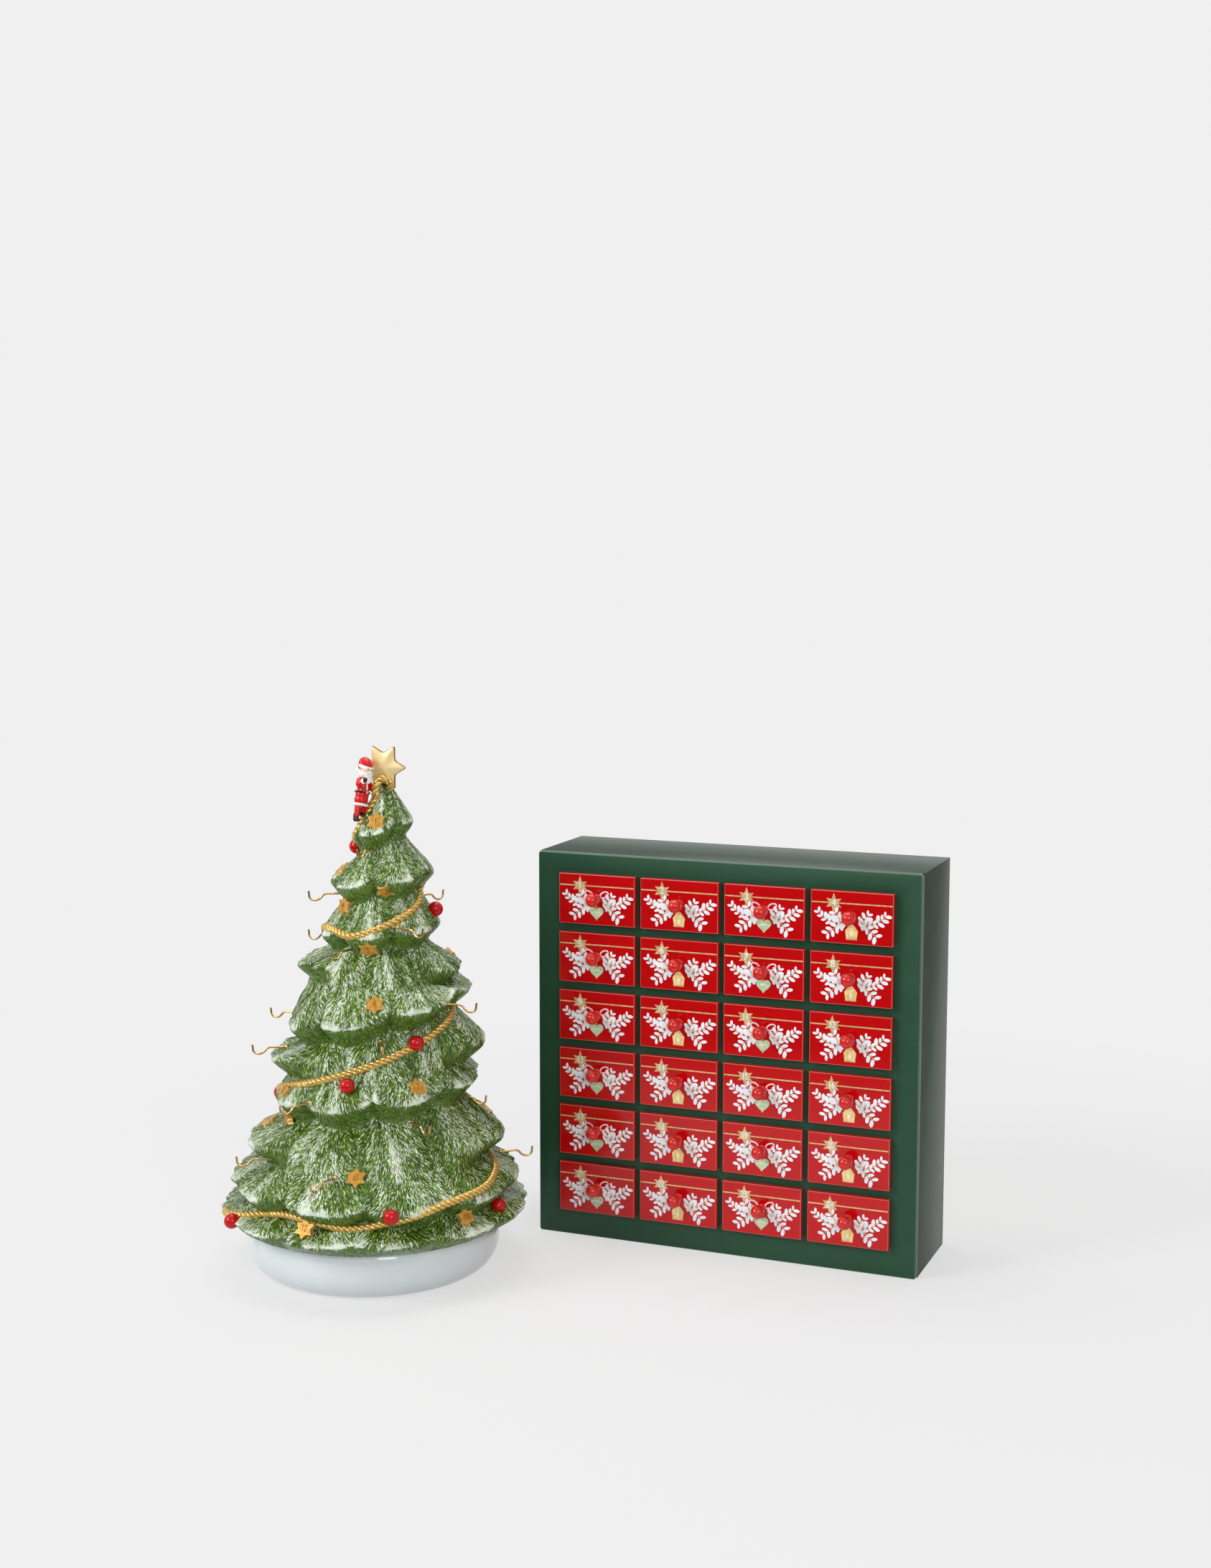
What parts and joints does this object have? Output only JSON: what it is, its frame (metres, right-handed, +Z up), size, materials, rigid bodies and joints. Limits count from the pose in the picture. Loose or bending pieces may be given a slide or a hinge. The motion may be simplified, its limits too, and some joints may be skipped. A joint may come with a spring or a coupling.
{
  "type": "porcelain advent calendar",
  "caption": "Ceramic Christmas tree with wire hooks for hanging ornaments, standing beside a lacquered wooden cabinet of small numbered drawers that slide out",
  "frame": {"origin": "centre of the cabinet's underside, on the surface that cabinet and tree stand on", "axes": "+Z up, drawers open along -Y, +X to the right of someone facing the drawers; the tree stands to the left and in front"},
  "size_m": [0.5813, 0.357, 0.4526],
  "materials": {
    "green_lacquer": "dark green satin lacquer on fibreboard",
    "bare_board": "plain fibreboard",
    "red_lacquer": "glossy red lacquer",
    "white_glaze": "white porcelain, clear gloss glaze",
    "green_glaze": "green glaze brushed with white, gloss",
    "painted_porcelain": "painted porcelain, gloss",
    "gold": "satin gold",
    "brass_wire": "bright drawn wire"
  },
  "bodies": {
    "cabinet": {"cabinet_case": "green_lacquer", "face_panel": "green_lacquer", "back_panel": "bare_board", "shelf_1": "bare_board", "shelf_2": "bare_board", "shelf_3": "bare_board", "shelf_4": "bare_board", "shelf_5": "bare_board"},
    "drawer_01_body": {"drawer_01": "red_lacquer"},
    "drawer_02_body": {"drawer_02": "red_lacquer"},
    "drawer_03_body": {"drawer_03": "red_lacquer"},
    "drawer_04_body": {"drawer_04": "red_lacquer"},
    "drawer_05_body": {"drawer_05": "red_lacquer"},
    "drawer_06_body": {"drawer_06": "red_lacquer"},
    "drawer_07_body": {"drawer_07": "red_lacquer"},
    "drawer_08_body": {"drawer_08": "red_lacquer"},
    "drawer_09_body": {"drawer_09": "red_lacquer"},
    "drawer_10_body": {"drawer_10": "red_lacquer"},
    "drawer_11_body": {"drawer_11": "red_lacquer"},
    "drawer_12_body": {"drawer_12": "red_lacquer"},
    "drawer_13_body": {"drawer_13": "red_lacquer"},
    "drawer_14_body": {"drawer_14": "red_lacquer"},
    "drawer_15_body": {"drawer_15": "red_lacquer"},
    "drawer_16_body": {"drawer_16": "red_lacquer"},
    "drawer_17_body": {"drawer_17": "red_lacquer"},
    "drawer_18_body": {"drawer_18": "red_lacquer"},
    "drawer_19_body": {"drawer_19": "red_lacquer"},
    "drawer_20_body": {"drawer_20": "red_lacquer"},
    "drawer_21_body": {"drawer_21": "red_lacquer"},
    "drawer_22_body": {"drawer_22": "red_lacquer"},
    "drawer_23_body": {"drawer_23": "red_lacquer"},
    "drawer_24_body": {"drawer_24": "red_lacquer"},
    "tree": {"porcelain_base": "white_glaze", "porcelain_tree": "green_glaze", "tip_star": "gold", "climbing_figure": "painted_porcelain", "hook_01": "brass_wire", "hook_02": "brass_wire", "hook_03": "brass_wire", "hook_04": "brass_wire", "hook_05": "brass_wire", "hook_06": "brass_wire", "hook_07": "brass_wire", "hook_08": "brass_wire", "hook_09": "brass_wire", "hook_10": "brass_wire", "hook_11": "brass_wire", "hook_12": "brass_wire", "hook_13": "brass_wire", "hook_14": "brass_wire", "hook_15": "brass_wire", "hook_16": "brass_wire", "hook_17": "brass_wire", "hook_18": "brass_wire", "hook_19": "brass_wire", "hook_20": "brass_wire", "hook_21": "brass_wire", "hook_22": "brass_wire", "hook_23": "brass_wire", "hook_24": "brass_wire"}
  },
  "joints": [
    {"name": "drawer_01_slide", "type": "slide", "parent": "cabinet", "child": "drawer_01_body", "axis": [0, -1, 0], "range_m": [0, 0.06]},
    {"name": "drawer_02_slide", "type": "slide", "parent": "cabinet", "child": "drawer_02_body", "axis": [0, -1, 0], "range_m": [0, 0.06]},
    {"name": "drawer_03_slide", "type": "slide", "parent": "cabinet", "child": "drawer_03_body", "axis": [0, -1, 0], "range_m": [0, 0.06]},
    {"name": "drawer_04_slide", "type": "slide", "parent": "cabinet", "child": "drawer_04_body", "axis": [0, -1, 0], "range_m": [0, 0.06]},
    {"name": "drawer_05_slide", "type": "slide", "parent": "cabinet", "child": "drawer_05_body", "axis": [0, -1, 0], "range_m": [0, 0.06]},
    {"name": "drawer_06_slide", "type": "slide", "parent": "cabinet", "child": "drawer_06_body", "axis": [0, -1, 0], "range_m": [0, 0.06]},
    {"name": "drawer_07_slide", "type": "slide", "parent": "cabinet", "child": "drawer_07_body", "axis": [0, -1, 0], "range_m": [0, 0.06]},
    {"name": "drawer_08_slide", "type": "slide", "parent": "cabinet", "child": "drawer_08_body", "axis": [0, -1, 0], "range_m": [0, 0.06]},
    {"name": "drawer_09_slide", "type": "slide", "parent": "cabinet", "child": "drawer_09_body", "axis": [0, -1, 0], "range_m": [0, 0.06]},
    {"name": "drawer_10_slide", "type": "slide", "parent": "cabinet", "child": "drawer_10_body", "axis": [0, -1, 0], "range_m": [0, 0.06]},
    {"name": "drawer_11_slide", "type": "slide", "parent": "cabinet", "child": "drawer_11_body", "axis": [0, -1, 0], "range_m": [0, 0.06]},
    {"name": "drawer_12_slide", "type": "slide", "parent": "cabinet", "child": "drawer_12_body", "axis": [0, -1, 0], "range_m": [0, 0.06]},
    {"name": "drawer_13_slide", "type": "slide", "parent": "cabinet", "child": "drawer_13_body", "axis": [0, -1, 0], "range_m": [0, 0.06]},
    {"name": "drawer_14_slide", "type": "slide", "parent": "cabinet", "child": "drawer_14_body", "axis": [0, -1, 0], "range_m": [0, 0.06]},
    {"name": "drawer_15_slide", "type": "slide", "parent": "cabinet", "child": "drawer_15_body", "axis": [0, -1, 0], "range_m": [0, 0.06]},
    {"name": "drawer_16_slide", "type": "slide", "parent": "cabinet", "child": "drawer_16_body", "axis": [0, -1, 0], "range_m": [0, 0.06]},
    {"name": "drawer_17_slide", "type": "slide", "parent": "cabinet", "child": "drawer_17_body", "axis": [0, -1, 0], "range_m": [0, 0.06]},
    {"name": "drawer_18_slide", "type": "slide", "parent": "cabinet", "child": "drawer_18_body", "axis": [0, -1, 0], "range_m": [0, 0.06]},
    {"name": "drawer_19_slide", "type": "slide", "parent": "cabinet", "child": "drawer_19_body", "axis": [0, -1, 0], "range_m": [0, 0.06]},
    {"name": "drawer_20_slide", "type": "slide", "parent": "cabinet", "child": "drawer_20_body", "axis": [0, -1, 0], "range_m": [0, 0.06]},
    {"name": "drawer_21_slide", "type": "slide", "parent": "cabinet", "child": "drawer_21_body", "axis": [0, -1, 0], "range_m": [0, 0.06]},
    {"name": "drawer_22_slide", "type": "slide", "parent": "cabinet", "child": "drawer_22_body", "axis": [0, -1, 0], "range_m": [0, 0.06]},
    {"name": "drawer_23_slide", "type": "slide", "parent": "cabinet", "child": "drawer_23_body", "axis": [0, -1, 0], "range_m": [0, 0.06]},
    {"name": "drawer_24_slide", "type": "slide", "parent": "cabinet", "child": "drawer_24_body", "axis": [0, -1, 0], "range_m": [0, 0.06]},
    {"name": "tree_lift", "type": "slide", "parent": "cabinet", "child": "tree", "axis": [0, 0, 1], "range_m": [0, 0.15]}
  ]
}
